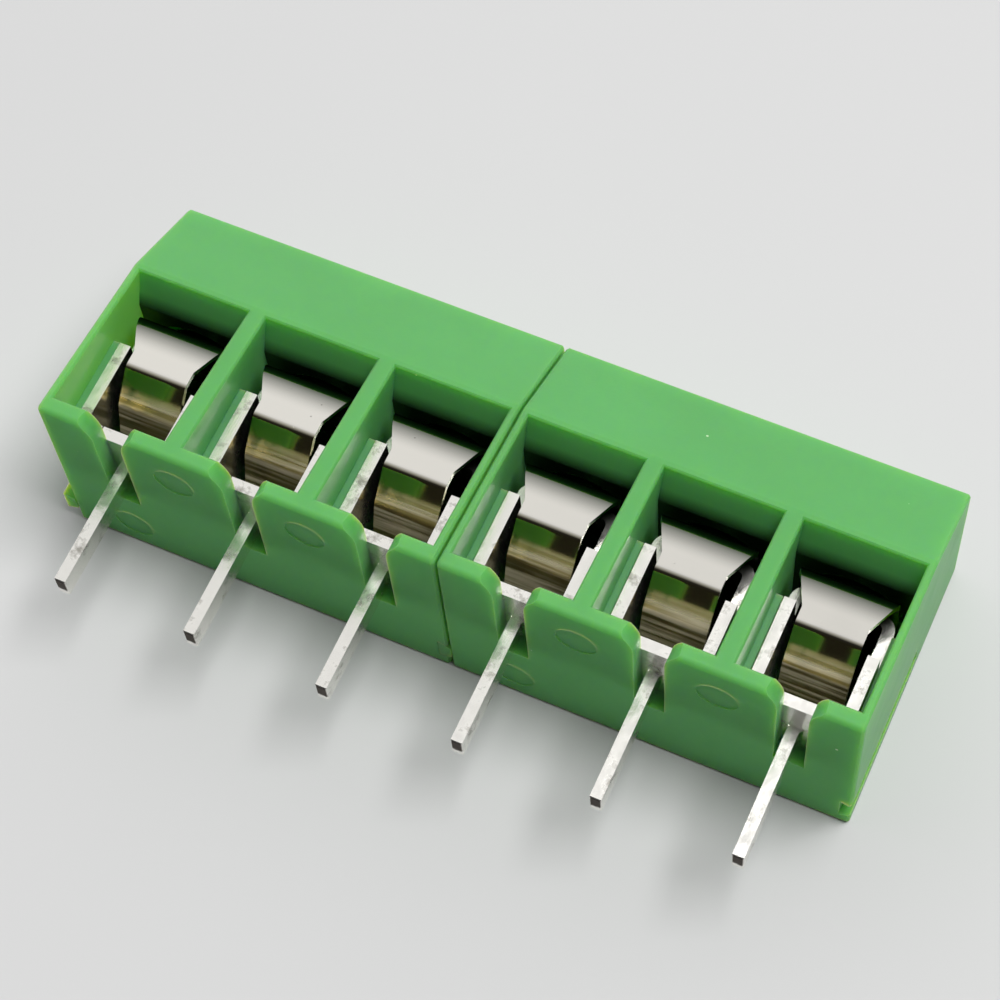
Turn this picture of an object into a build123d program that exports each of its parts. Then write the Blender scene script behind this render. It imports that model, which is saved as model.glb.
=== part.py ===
"""Six-pole screw terminal for printed circuit boards, built as two dovetailed blocks.

The terminal lies on its back. X runs along the row of poles, +Y points to the screw heads,
-Y to the circuit board and +Z to the wire entries. The pieces are drawn with y = 0 on the
board side and x = 0 at the joint of the two blocks, then set down with the origin under the
middle of the whole outline. All sizes are in millimetres.
"""
import math
import os

from build123d import *

# Row of poles
pitch = 5.0                     # standard spacing of the solder pins
poles_per_block = 3
block_names = ["left", "right"]
block_gap = 0.1                 # dark line between neighbouring blocks

# Housing outline, seen from the end
housing_height = 10.5           # board side to screw side
base_depth = 8.4                # back to rim at the board side
shoulder_height = 6.9           # where the leaning rim meets the slope
shoulder_depth = 7.47
corner_round = 0.2              # moulded radius along the long edges
edge_break = 0.08               # small bevel around the end faces

# Wire pockets
divider = 0.68                  # wall between two pockets
pocket_floor = 0.65             # thickness of the wall on the board side
lintel = 0.25                   # rim left between pocket roof and shoulder
mouth_bevel = 0.07
ceiling_setback = 0.1           # the ceiling starts to fall this far behind the shoulder
ceiling_run = 1.4               # depth over which it falls
ceiling_room = 0.65             # left above the clamp frame behind that
rib_width = 0.25                # guide ribs beside the clamp frame
rib_clearance = 0.06
rib_setback = 0.15              # rib front behind the frame front
rib_drop = 1.15                 # rib top below the frame top

# Pin notches in the board-side wall
notch_width = 1.1
notch_shift = 0.1               # notch middle beside the pin
notch_back = 3.44
notch_flare_width = 0.5
notch_flare_depth = 1.1

# Screw wells
well_clearance = 0.15
well_front_wall = 0.34          # housing left in front of each well

# Dovetail between the blocks
tongue_reach = 0.45
tongue_neck_back = 0.85
tongue_neck_front = 1.5
tongue_flare = 0.2
tongue_height = 6.3
dovetail_clearance = 0.05
groove_wall = 0.25              # housing left between groove and pocket

# Ejector marks on the board side
ejector_radius = 0.75
ejector_sink = 0.05
ejector_front_depth = 6.5
ejector_back_depth = 1.5

# Clamp frame, folded from sheet
sheet = 0.42
frame_top = 5.45                # upper face of the tapped plate above the board
frame_front = 6.45
frame_back_clearance = 0.1
bend_radius = 0.2               # inside radius of every sheet bend
fold_seam = 0.05                # butt joint in the lower plate
seam_shift = 0.6                # from the pin to the butt joint
guard_recess = 1.2              # the strip is narrower where the wire guard sits
left_wall_drop = 1.2            # start of that recess below the frame top
right_wall_drop = 2.1
collar_wall = 0.2
collar_height = 0.8             # thread collar raised from the top plate
collar_edge = 0.05              # plate left behind the collar
thread_clearance = 0.04

# Solder pin
pin_width = 0.95
pin_front = 4.95
pin_length = 4.25               # reach below the board side
pin_tip_bevel = 0.05

# Wire guard, folded from thin leaf
leaf = 0.2
leaf_clearance = 0.03
guard_proud = 0.15              # front plate ahead of the frame front
guard_inset = 0.1               # flange edge inside the frame edge
guard_bend = 0.7                # centre-line radius of the upper bend
guard_fold = 0.15               # centre-line radius of the lower fold
guard_knee = 0.25               # centre-line radius where the ramp meets the arm
guard_drop = 1.95               # lower fold below the frame top
taper_start = 0.05
taper_length = 1.3
arm_gap = 0.26                  # between arm and frame wall
ramp_length = 1.5               # steep part behind the lower fold
ramp_droop = 40.0               # degrees below the horizontal
arm_droop = 15.0                # degrees below the horizontal
arm_back = 2.7
fork_clearance = 0.05
fork_back = 2.6

# Clamping screw
screw_radius = 1.25             # fine metric thread
screw_tip_bevel = 0.3
screw_shank = 4.9
screw_tip_gap = 0.04
head_radius = 1.7
head_height = 1.7
slot_width = 0.7
slot_sink = 0.8

# Places along the row
pole_count = poles_per_block * len(block_names)
block_length = poles_per_block * pitch - block_gap
row_start = -pole_count * pitch / 2
pole_places = [row_start + (pole + 0.5) * pitch for pole in range(pole_count)]
pocket_width = pitch - divider
frame_width = pocket_width - 2 * (rib_width + rib_clearance)
guard_width = frame_width - 2 * guard_inset
arm_width = frame_width - 2 * (sheet + arm_gap)

# Depths in front of the back face
back_wall = tongue_neck_front + tongue_flare + dovetail_clearance + groove_wall
frame_back = back_wall + frame_back_clearance
collar_radius = screw_radius + thread_clearance + collar_wall
screw_axis_depth = frame_back + collar_edge + collar_radius
well_radius = head_radius + well_clearance
top_depth = screw_axis_depth + well_radius + well_front_wall
fork_radius = collar_radius + fork_clearance
ceiling_front = shoulder_depth - ceiling_setback
ceiling_back = ceiling_front - ceiling_run
rib_front = frame_front - rib_setback
guard_front = frame_front + guard_proud
leaf_middle = guard_front - leaf / 2

# Heights above the board side
frame_bottom = pocket_floor
pocket_ceiling = shoulder_height - lintel
ceiling_low = frame_top + ceiling_room
rib_height = frame_top - rib_drop
left_wall_step = frame_top - left_wall_drop
right_wall_step = frame_top - right_wall_drop
collar_top = frame_top + collar_height
fold_height = frame_top - guard_drop
taper_top = frame_top - taper_start
taper_end = taper_top - taper_length
knee_height = fold_height - ramp_length * math.sin(math.radians(ramp_droop))
knee_depth = leaf_middle - ramp_length * math.cos(math.radians(ramp_droop))
arm_slope = math.tan(math.radians(arm_droop))
arm_rise = leaf / 2 / math.cos(math.radians(arm_droop))
tip_radius = screw_radius - screw_tip_bevel
tip_reach = knee_depth - screw_axis_depth - tip_radius
tip_height = knee_height - tip_reach * arm_slope + arm_rise + screw_tip_gap

# Outline of the whole row
overcut = 1.0                   # how far cutting shapes run past a face
outline_left = row_start + block_gap / 2 - tongue_reach
outline_right = -row_start - block_gap / 2
outline_middle = (outline_left + outline_right) / 2
outline_centre = Vector(outline_middle, (housing_height - pin_length) / 2, 0)


def dovetail(neck_x, reach, clearance):
    """Plan of the tongue, or of its groove, with the neck on the plane x = neck_x."""
    back = tongue_neck_back - clearance
    front = tongue_neck_front + clearance
    with BuildLine() as outline:
        Polyline(
            (neck_x, back),
            (neck_x - reach, back - tongue_flare),
            (neck_x - reach, front + tongue_flare),
            (neck_x, front),
            close=True,
        )
    return outline.line


def make_housing(block):
    """One moulded block with its pockets, wells, notches and dovetail."""
    start = row_start + block * poles_per_block * pitch
    poles = pole_places[block * poles_per_block:(block + 1) * poles_per_block]
    left_end = start + block_gap / 2
    right_end = left_end + block_length
    next_left_end = right_end + block_gap
    pocket_height = pocket_ceiling - pocket_floor
    pocket_middle = pocket_floor + pocket_height / 2
    rib_offset = pocket_width / 2 - rib_width / 2

    with BuildPart() as housing:
        # End profile with its leaning rim and slope
        with BuildSketch(Plane.YZ.offset(left_end)) as profile:
            with BuildLine():
                Polyline(
                    (0, 0),
                    (housing_height, 0),
                    (housing_height, top_depth),
                    (shoulder_height, shoulder_depth),
                    (0, base_depth),
                    close=True,
                )
            make_face()
            fillet(profile.vertices(), corner_round)
        extrude(amount=block_length)
        end_edges = housing.edges().group_by(Axis.X)
        chamfer(end_edges[0] + end_edges[-1], edge_break)

        # Wire pockets, open to the rim
        with BuildSketch(Plane.XY.offset(back_wall)):
            with Locations(*[(x, pocket_middle) for x in poles]):
                Rectangle(pocket_width, pocket_height)
        extrude(amount=base_depth, mode=Mode.SUBTRACT)
        rim = housing.faces().sort_by(lambda face: len(face.inner_wires()))[-1]
        mouths = [edge for wire in rim.inner_wires() for edge in wire.edges()]
        chamfer(mouths, mouth_bevel)

        # Ceilings that fall away behind the rim
        for x in poles:
            with BuildSketch(Plane.YZ.offset(x - pocket_width / 2)):
                with BuildLine():
                    Polyline(
                        (pocket_ceiling, back_wall),
                        (pocket_ceiling, ceiling_front),
                        (ceiling_low, ceiling_back),
                        (ceiling_low, back_wall),
                        close=True,
                    )
                make_face()
            extrude(amount=pocket_width)

        # Guide ribs beside each clamp frame
        with BuildSketch(Plane.XY.offset(back_wall)):
            rib_middle = (pocket_floor + rib_height) / 2
            rib_places = [(x + side * rib_offset, rib_middle) for x in poles for side in (-1, 1)]
            with Locations(*rib_places):
                Rectangle(rib_width, rib_height - pocket_floor)
        extrude(amount=rib_front - back_wall)

        # Round wells for the screw heads, open to the pockets
        with BuildSketch(Plane.XZ.offset(-housing_height)):
            with Locations(*[(x, screw_axis_depth) for x in poles]):
                Circle(well_radius)
        extrude(amount=housing_height - ceiling_low + overcut, mode=Mode.SUBTRACT)

        # Pin notches with a flared mouth
        for x in poles:
            flare_back = base_depth - notch_flare_depth
            left = x + notch_shift - notch_width / 2
            right = x + notch_shift + notch_width / 2
            mouth_left = left - notch_flare_width
            mouth_right = right + notch_flare_width
            with BuildSketch(Plane.XZ):
                with BuildLine():
                    Line((left, notch_back), (left, flare_back))
                    TangentArc((left, flare_back), (mouth_left, base_depth), tangent=(0, 1))
                    Polyline(
                        (mouth_left, base_depth),
                        (mouth_left, base_depth + overcut),
                        (mouth_right, base_depth + overcut),
                        (mouth_right, base_depth),
                    )
                    TangentArc((right, flare_back), (mouth_right, base_depth), tangent=(0, 1))
                    Polyline((right, flare_back), (right, notch_back), (left, notch_back))
                make_face()
            extrude(amount=-pocket_floor - mouth_bevel, mode=Mode.SUBTRACT)

        # Ejector marks
        with BuildSketch(Plane.XZ):
            marks = [(x + pitch / 2, ejector_front_depth) for x in poles[:-1]]
            marks.append((poles[0], ejector_back_depth))
            with Locations(*marks):
                Circle(ejector_radius)
        extrude(amount=-ejector_sink, mode=Mode.SUBTRACT)

        # Dovetail tongue on one end, groove for the next block on the other
        with BuildSketch(Plane.XZ):
            make_face(dovetail(left_end, tongue_reach, 0))
        extrude(amount=-tongue_height)
        with BuildSketch(Plane.XZ):
            groove_reach = tongue_reach + dovetail_clearance
            make_face(dovetail(next_left_end, groove_reach, dovetail_clearance))
        extrude(amount=-tongue_height - dovetail_clearance, mode=Mode.SUBTRACT)
    return housing


def make_clamp_frame(x):
    """Sheet strip folded into a cage, with a thread collar on top and the solder pin below."""
    frame_height = frame_top - frame_bottom
    frame_middle = frame_bottom + frame_height / 2
    pin_left = x - sheet / 2
    pin_right = x + sheet / 2
    plate_top = frame_bottom + sheet
    bend_outer = bend_radius + sheet

    with BuildPart() as clamp_frame:
        # Closed cage
        with BuildSketch(Plane.XY.offset(frame_back)):
            with Locations((x, frame_middle)):
                RectangleRounded(frame_width, frame_height, bend_outer)
                RectangleRounded(
                    frame_width - 2 * sheet,
                    frame_height - 2 * sheet,
                    bend_radius,
                    mode=Mode.SUBTRACT,
                )
        extrude(amount=frame_front - frame_back)

        # Butt joint of the strip in the lower plate
        with BuildSketch(Plane.XY.offset(frame_back)):
            with Locations((pin_left - seam_shift, frame_bottom + sheet / 2)):
                Rectangle(fold_seam, 2 * sheet)
        extrude(amount=frame_front - frame_back, mode=Mode.SUBTRACT)

        # The upper strip is cut back for the wire guard
        with BuildSketch(Plane.XY.offset(frame_front - guard_recess)):
            with BuildLine():
                outer = frame_width / 2 + overcut
                Polyline(
                    (x - outer, left_wall_step),
                    (x, left_wall_step),
                    (x, right_wall_step),
                    (x + outer, right_wall_step),
                    (x + outer, frame_top + overcut),
                    (x - outer, frame_top + overcut),
                    close=True,
                )
            make_face()
        extrude(amount=guard_recess, mode=Mode.SUBTRACT)

        # Thread collar
        with BuildSketch(Plane.XZ.offset(sheet / 2 - frame_top)):
            with Locations((x, screw_axis_depth)):
                Circle(collar_radius)
        extrude(amount=-collar_height - sheet / 2)
        with BuildSketch(Plane.XZ.offset(-collar_top)):
            with Locations((x, screw_axis_depth)):
                Circle(screw_radius + thread_clearance)
        extrude(amount=collar_height + 2 * sheet, mode=Mode.SUBTRACT)

        # Solder pin, turned down from the lower plate
        with BuildSketch(Plane.XY.offset(pin_front - pin_width)):
            with Locations((pin_left, frame_bottom)):
                Rectangle(bend_outer, sheet, align=(Align.MIN, Align.MIN))
        extrude(amount=pin_width, mode=Mode.SUBTRACT)
        with BuildSketch(Plane.XY.offset(pin_front - pin_width)):
            with BuildLine():
                Line((pin_left, -pin_length), (pin_left, plate_top - bend_outer))
                TangentArc(
                    (pin_left, plate_top - bend_outer),
                    (pin_left + bend_outer, plate_top),
                    tangent=(0, 1),
                )
                Line((pin_left + bend_outer, plate_top), (pin_left + bend_outer, frame_bottom))
                TangentArc(
                    (pin_left + bend_outer, frame_bottom),
                    (pin_right, frame_bottom - bend_radius),
                    tangent=(-1, 0),
                )
                Polyline(
                    (pin_right, frame_bottom - bend_radius),
                    (pin_right, -pin_length),
                    (pin_left, -pin_length),
                )
            make_face()
        extrude(amount=pin_width)
        pin_tip = clamp_frame.faces().sort_by(Axis.Y)[0]
        chamfer(pin_tip.edges(), pin_tip_bevel)
    return clamp_frame


def make_wire_guard(x):
    """Thin leaf: forked flange, tapered front plate, ramp and arm under the screw."""
    flange_middle = frame_top + leaf_clearance + leaf / 2
    arm_end = knee_height - (knee_depth - arm_back) * arm_slope
    half_width = guard_width / 2
    half_arm = arm_width / 2

    with BuildPart() as wire_guard:
        # Folded section, as wide as the flange
        with BuildSketch(Plane.YZ.offset(x)):
            with BuildLine():
                FilletPolyline(
                    (flange_middle, fork_back),
                    (flange_middle, leaf_middle),
                    (fold_height, leaf_middle),
                    (knee_height, knee_depth),
                    (arm_end, arm_back),
                    radius=[guard_bend, guard_fold, guard_knee],
                )
            trace(line_width=leaf)
        extrude(amount=half_width, both=True)

        # Taper of the front plate down to the arm
        with BuildSketch(Plane.XY):
            for side in (-1, 1):
                with BuildLine():
                    Polyline(
                        (x + side * half_width, taper_top),
                        (x + side * half_arm, taper_end),
                        (x + side * half_arm, 0),
                        (x + side * (half_width + overcut), 0),
                        (x + side * (half_width + overcut), taper_top),
                        close=True,
                    )
                make_face()
        extrude(amount=guard_front + overcut, mode=Mode.SUBTRACT)

        # Fork around the thread collar
        with BuildSketch(Plane.XZ.offset(-frame_top)):
            with Locations((x, screw_axis_depth)):
                Circle(fork_radius)
                Rectangle(2 * fork_radius, screw_axis_depth, align=(Align.CENTER, Align.MAX))
        extrude(amount=-2 * leaf, mode=Mode.SUBTRACT)
    return wire_guard


def make_screw(x):
    """Slotted clamping screw; the thread is left plain."""
    head_bottom = tip_height + screw_shank
    head_top = head_bottom + head_height

    with BuildPart() as screw:
        with BuildSketch(Plane.XY.offset(screw_axis_depth)):
            with BuildLine():
                Polyline(
                    (x, tip_height),
                    (x + tip_radius, tip_height),
                    (x + screw_radius, tip_height + screw_tip_bevel),
                    (x + screw_radius, head_bottom),
                    (x + head_radius, head_bottom),
                    (x + head_radius, head_top),
                    (x, head_top),
                    close=True,
                )
            make_face()
        revolve(axis=Axis((x, 0, screw_axis_depth), (0, 1, 0)))
        with BuildSketch(Plane.XZ.offset(-head_top)):
            with Locations((x, screw_axis_depth)):
                Rectangle(2 * head_radius + overcut, slot_width)
        extrude(amount=slot_sink, mode=Mode.SUBTRACT)
    return screw


def save(piece, name):
    """Set the piece down at the origin, label it and write it as one node."""
    placed = piece.part.moved(Location(-outline_centre))
    placed.label = name
    export_step(placed, f"parts/{name}.step")


os.makedirs("parts", exist_ok=True)
for block, block_name in enumerate(block_names):
    save(make_housing(block), f"housing_{block_name}")
for pole, place in enumerate(pole_places, start=1):
    save(make_clamp_frame(place), f"clamp_frame_{pole}")
    save(make_wire_guard(place), f"wire_guard_{pole}")
    save(make_screw(place), f"screw_{pole}")
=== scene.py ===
"""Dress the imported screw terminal: moulded housings, tinned clamps, folded leaves and screws."""
import math

import bpy
from mathutils import Matrix, Vector


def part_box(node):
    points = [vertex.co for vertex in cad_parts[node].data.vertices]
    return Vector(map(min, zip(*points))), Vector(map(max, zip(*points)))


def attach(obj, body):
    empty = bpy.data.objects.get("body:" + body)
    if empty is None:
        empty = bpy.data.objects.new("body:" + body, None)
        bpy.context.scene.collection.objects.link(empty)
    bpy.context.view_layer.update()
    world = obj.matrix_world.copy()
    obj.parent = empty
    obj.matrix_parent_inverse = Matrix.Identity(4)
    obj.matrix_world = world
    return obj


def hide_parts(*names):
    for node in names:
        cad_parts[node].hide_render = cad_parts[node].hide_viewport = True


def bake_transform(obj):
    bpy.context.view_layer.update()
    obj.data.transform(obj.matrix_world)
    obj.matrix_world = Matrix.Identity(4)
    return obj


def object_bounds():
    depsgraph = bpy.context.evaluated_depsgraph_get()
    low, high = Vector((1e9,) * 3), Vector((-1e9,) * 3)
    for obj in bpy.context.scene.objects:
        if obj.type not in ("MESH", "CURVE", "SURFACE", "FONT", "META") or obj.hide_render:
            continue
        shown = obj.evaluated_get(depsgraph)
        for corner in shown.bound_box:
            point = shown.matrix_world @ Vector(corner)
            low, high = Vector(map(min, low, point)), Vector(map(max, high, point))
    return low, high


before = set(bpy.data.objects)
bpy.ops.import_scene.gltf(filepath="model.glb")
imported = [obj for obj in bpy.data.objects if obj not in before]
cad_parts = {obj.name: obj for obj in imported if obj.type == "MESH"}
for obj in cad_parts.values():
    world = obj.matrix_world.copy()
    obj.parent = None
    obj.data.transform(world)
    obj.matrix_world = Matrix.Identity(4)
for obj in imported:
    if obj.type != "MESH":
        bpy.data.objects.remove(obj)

bl_info = {
    "name": "Screw terminal dressing",
    "version": (1, 0, 0),
    "blender": (4, 5, 0),
    "location": "View3D > Sidebar > Terminal",
    "description": "Gives a packed screw terminal its moulded, tinned and plated finishes",
    "category": "Object",
}

MM = 0.001
POLES = 6
CAD_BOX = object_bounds()
BOARD_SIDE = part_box("housing_left")[0].y
PIN_END = CAD_BOX[0][1]

# Heights at which a finish or a painted shade changes, from the board side up
MATT_END = BOARD_SIDE + 0.3 * MM
ARM_FULL = BOARD_SIDE + 2.6 * MM
ARM_START = BOARD_SIDE + 2.95 * MM
FOLD_FULL = BOARD_SIDE + 3.4 * MM
FOLD_START = BOARD_SIDE + 3.6 * MM
BEND_SHADE_START = BOARD_SIDE + 4.25 * MM
BEND_SHADE_FULL = BOARD_SIDE + 5.42 * MM
COLLAR_START = BOARD_SIDE + 5.42 * MM
COLLAR_FULL = BOARD_SIDE + 5.52 * MM
CEILING_LOW = BOARD_SIDE + 6.0 * MM
CEILING_SHADE_FULL = BOARD_SIDE + 6.1 * MM
CEILING_SHADE_START = BOARD_SIDE + 6.34 * MM

# Where the sheared pin end turns bare, above the back face, and where the thread's painted shade
# ends, above the screw's tip
SHEAR_START = 4.36 * MM
SHEAR_FULL = 4.48 * MM
THREAD_SHADE_FULL = 4.5 * MM
THREAD_SHADE_END = 4.7 * MM

# Mesh steps of the folded leaf and the screw
STRIP_STEPS = 140
STRIP_COLUMNS = 9
BEND_STEPS = 10
FORK_SIDES = 64
THREAD_SIDES = 48
THREAD_ROWS = 121
HEAD_SIDES = 72
SHARP_EDGE = math.radians(32)


def linear(code):
    """Turn an sRGB hex colour into the linear values that Blender works with."""
    values = [int(code[i:i + 2], 16) / 255 for i in (1, 3, 5)]
    return tuple(v / 12.92 if v <= 0.04045 else ((v + 0.055) / 1.055) ** 2.4 for v in values)


def opaque(colour):
    """Give a stored colour the fourth value that a shader socket takes."""
    return (*colour, 1.0)


def per_mm(size):
    """Texture scale that makes a pattern repeat about once in so many millimetres."""
    return 1 / (size * MM)


def add(tree, kind, inputs=None, **settings):
    """Add a node, give it its settings, and fill or link its inputs by name or number."""
    node = tree.nodes.new(kind)
    for key, value in settings.items():
        setattr(node, key, value)
    for key, value in (inputs or {}).items():
        socket = node.inputs[key]
        if isinstance(value, bpy.types.NodeSocket):
            tree.links.new(value, socket)
        else:
            socket.default_value = value
    return node


def new_material(name):
    """Start a material with one Principled shader, and return it with its tree and shader."""
    material = bpy.data.materials.new(name)
    material.use_nodes = True
    tree = material.node_tree
    return material, tree, tree.nodes["Principled BSDF"]


def length_property(name, description, millimetres):
    """A size that the panel shows as a length."""
    return bpy.props.FloatProperty(
        name=name, description=description, default=millimetres * MM,
        subtype="DISTANCE", unit="LENGTH", precision=5)


def colour_property(name, description, code):
    """A colour that the panel shows as a swatch."""
    return bpy.props.FloatVectorProperty(
        name=name, description=description, default=linear(code),
        size=3, min=0.0, max=1.0, subtype="COLOR")


# Sizes and colours that a user would change

class LeafSizes(bpy.types.PropertyGroup):
    """Sizes of the folded wire guard, measured from the board side and the back face."""
    leaf: length_property("Leaf", "Thickness of the spring leaf", 0.2)
    flange_height: length_property("Flange height", "Middle of the flange above the board side", 5.58)
    flange_back: length_property("Flange back", "Back end of the flange above the back face", 2.6)
    front_depth: length_property("Front depth", "Middle of the front plate above the back face", 6.5)
    fold_height: length_property("Fold height", "Lower fold of the front plate", 3.5)
    knee_height: length_property("Knee height", "Knee between ramp and arm, height", 2.5358)
    knee_depth: length_property("Knee depth", "Knee between ramp and arm, depth", 5.3509)
    arm_end_height: length_property("Arm end height", "Height of the free end of the arm", 1.8255)
    arm_end_depth: length_property("Arm end depth", "Depth of the free end of the arm", 2.7)
    bend_radius: length_property("Bend radius", "Middle radius of the upper bend", 0.7)
    fold_radius: length_property("Fold radius", "Middle radius of the lower fold", 0.15)
    knee_radius: length_property("Knee radius", "Middle radius of the knee", 0.25)
    flange_width: length_property("Flange width", "Width of flange and upper plate", 3.5)
    arm_width: length_property("Arm width", "Width of ramp and arm", 2.34)
    taper_top: length_property("Taper top", "Where the plate starts to narrow", 5.40)
    taper_end: length_property("Taper end", "Where the plate is as narrow as the arm", 4.10)
    fork_radius: length_property("Fork radius", "Half the width of the fork round the collar", 1.54)


class ScrewSizes(bpy.types.PropertyGroup):
    """Sizes of the clamping screw."""
    axis_depth: length_property("Axis depth", "Screw axis above the back face", 3.64)
    tip_height: length_property("Tip height", "Screw tip above the board side", 2.475)
    shank: length_property("Shank", "Length from tip to head", 4.9)
    shank_radius: length_property("Shank radius", "Radius over the thread crests", 1.25)
    tip_bevel: length_property("Tip bevel", "Bevel at the tip", 0.3)
    pitch: length_property("Pitch", "Rise of the thread in one turn", 0.45)
    thread_depth: length_property("Thread depth", "From crest to root", 0.2)
    head_radius: length_property("Head radius", "Radius of the cheese head", 1.7)
    head_height: length_property("Head height", "Height of the cheese head", 1.7)
    head_bevel: length_property("Head bevel", "Bevel round the top of the head", 0.2)
    slot_width: length_property("Slot width", "Width of the driver slot", 0.7)
    slot_depth: length_property("Slot depth", "Depth of the driver slot", 0.8)


class Finishes(bpy.types.PropertyGroup):
    """Colours of the materials."""
    resin: colour_property("Resin", "Green of the moulded housings", "#60AE62")
    resin_deep: colour_property("Resin, deep", "Green where the resin flowed thicker", "#58A159")
    # Painted shade: a dark colour laid on pocket ceilings, collars, threads and the leaf's upper bend
    oil: colour_property("Oil", "Dark thread oil on screws, collars and pocket ceilings", "#0E2A0C")
    dust: colour_property("Dust", "Pale specks that lie on the housings", "#C6DCC2")
    tin: colour_property("Tin", "Bright tin on the clamp frames", "#F0EEE8")
    tin_dull: colour_property("Tin, dull", "Dull spots in the tin", "#A8A59D")
    pin_end: colour_property("Pin end", "Bare sheared end of the pins", "#3A3128")
    leaf: colour_property("Leaf", "Nickel on the wire guards", "#ECE9E1")
    tarnish: colour_property("Tarnish", "Yellowed nickel on the guards below the fold", "#A3986C")
    bronze: colour_property("Bronze", "Where the wires rubbed the nickel thin", "#D0C6AE")
    zinc: colour_property("Zinc", "Zinc plate on the screws", "#C9CDD3")


class Studio(bpy.types.PropertyGroup):
    """Floor, lights and camera."""
    floor: colour_property("Floor", "Colour of the pale floor", "#CFCFCF")
    floor_side: length_property("Floor side", "Side of the square floor", 8000.0)
    key_power: bpy.props.FloatProperty(
        name="Key power", description="Soft box overhead, a little to the right",
        default=2.4, unit="POWER")
    key_side: length_property("Key side", "Side of the square soft box", 250.0)
    key_place: bpy.props.FloatVectorProperty(
        name="Key place", description="Where the soft box hangs", default=(0.16, 0.052, 0.48),
        subtype="XYZ", unit="LENGTH")
    bright_side: bpy.props.FloatVectorProperty(
        name="Bright side", description="Direction in which the room is brightest",
        default=(-0.5, 0.72, 0.48), subtype="DIRECTION")
    air_dim: bpy.props.FloatProperty(
        name="Air, dim", description="Strength of the room's light on its dark side", default=0.03)
    air_bright: bpy.props.FloatProperty(
        name="Air, bright", description="Strength of the room's light on its bright side", default=0.92)
    backdrop: bpy.props.FloatProperty(
        name="Backdrop", description="Strength of the pale wall that the camera sees", default=0.75)
    lens: bpy.props.FloatProperty(
        name="Lens", description="Focal length on a 36 mm square sensor, in millimetres",
        default=97.85077)


# Materials

def moulded_polyamide(finish):
    """Glass-free polyamide 66, injection moulded, green all through.

    To the eye: light enters and comes out again, so thin walls glow yellow-green and edges are
    soft; the skin is satin, with a fine eroded grain and slow clouds from the melt's flow.
    """
    material, tree, shader = new_material("polyamide_66_moulded_green")
    place = add(tree, "ShaderNodeTexCoord").outputs["Object"]
    clouds = add(tree, "ShaderNodeTexNoise", {
        "Vector": place, "Scale": per_mm(4.0), "Detail": 3.0, "Roughness": 0.55})
    resin = add(tree, "ShaderNodeMix", {
        0: clouds.outputs["Fac"], 6: opaque(finish.resin_deep), 7: opaque(finish.resin)}, data_type="RGBA")

    # Painted shade: the deep end of each pocket's ceiling, facing the board side, is darkened
    facing = add(tree, "ShaderNodeSeparateXYZ", {
        "Vector": add(tree, "ShaderNodeTexCoord").outputs["Normal"]}).outputs["Y"]
    ceiling = add(tree, "ShaderNodeMath", {0: facing, 1: -0.5}, operation="LESS_THAN")
    height = add(tree, "ShaderNodeSeparateXYZ", {"Vector": place}).outputs["Y"]
    deep = add(tree, "ShaderNodeMapRange", {
        "Value": height, 1: CEILING_SHADE_START, 2: CEILING_SHADE_FULL})
    inside = add(tree, "ShaderNodeMath", {0: height, 1: CEILING_LOW}, operation="GREATER_THAN")
    ceiling_shade = add(tree, "ShaderNodeMath", {
        0: ceiling.outputs["Value"], 1: deep.outputs["Result"]}, operation="MULTIPLY")
    painted_shade_mask = add(tree, "ShaderNodeMath", {
        0: ceiling_shade.outputs["Value"], 1: inside.outputs["Value"]}, operation="MULTIPLY")
    resin_painted_shade = add(tree, "ShaderNodeMix", {
        0: painted_shade_mask.outputs["Value"], 6: resin.outputs[2], 7: opaque(finish.oil)}, data_type="RGBA")

    # A few specks of dust, 0.05 to 0.1 mm across
    specks = add(tree, "ShaderNodeTexVoronoi", {"Vector": place, "Scale": per_mm(0.9)})
    chance = add(tree, "ShaderNodeSeparateColor", {"Color": specks.outputs["Color"]}).outputs["Red"]
    reach = add(tree, "ShaderNodeMapRange", {"Value": chance, 1: 0.86, 2: 1.0, 3: 0.0, 4: 0.06})
    settled = add(tree, "ShaderNodeMath", {
        0: specks.outputs["Distance"], 1: reach.outputs["Result"]}, operation="LESS_THAN")
    colour = add(tree, "ShaderNodeMix", {
        0: settled.outputs["Value"], 6: resin_painted_shade.outputs[2], 7: opaque(finish.dust)}, data_type="RGBA")
    tree.links.new(colour.outputs[2], shader.inputs["Base Color"])

    # Satin skin with slightly shinier patches; the tool was left matt on the board side
    patches = add(tree, "ShaderNodeTexNoise", {
        "Vector": place, "Scale": per_mm(1.6), "Detail": 2.0})
    gloss = add(tree, "ShaderNodeMapRange", {"Value": patches.outputs["Fac"], 3: 0.36, 4: 0.50})
    matt = add(tree, "ShaderNodeMapRange", {
        "Value": height, 1: MATT_END, 2: BOARD_SIDE, 3: 0.0, 4: 0.48})
    rough = add(tree, "ShaderNodeMath", {
        0: gloss.outputs["Result"], 1: matt.outputs["Result"]}, operation="ADD")
    tree.links.new(rough.outputs["Value"], shader.inputs["Roughness"])

    # Eroded grain is about 0.03 mm on the tool; drawn at 0.12 mm so that it shows
    grain = add(tree, "ShaderNodeTexNoise", {
        "Vector": place, "Scale": per_mm(0.12), "Detail": 2.0, "Roughness": 0.6})
    skin = add(tree, "ShaderNodeBump", {
        "Height": grain.outputs["Fac"], "Strength": 0.2, "Distance": 0.015 * MM})
    tree.links.new(skin.outputs["Normal"], shader.inputs["Normal"])

    shader.inputs["IOR"].default_value = 1.53
    shader.inputs["Specular IOR Level"].default_value = 0.32
    shader.inputs["Subsurface Weight"].default_value = 1.0
    shader.inputs["Subsurface Radius"].default_value = (0.9, 1.0, 0.15)
    shader.inputs["Subsurface Scale"].default_value = 1.8 * MM
    return material


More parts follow.
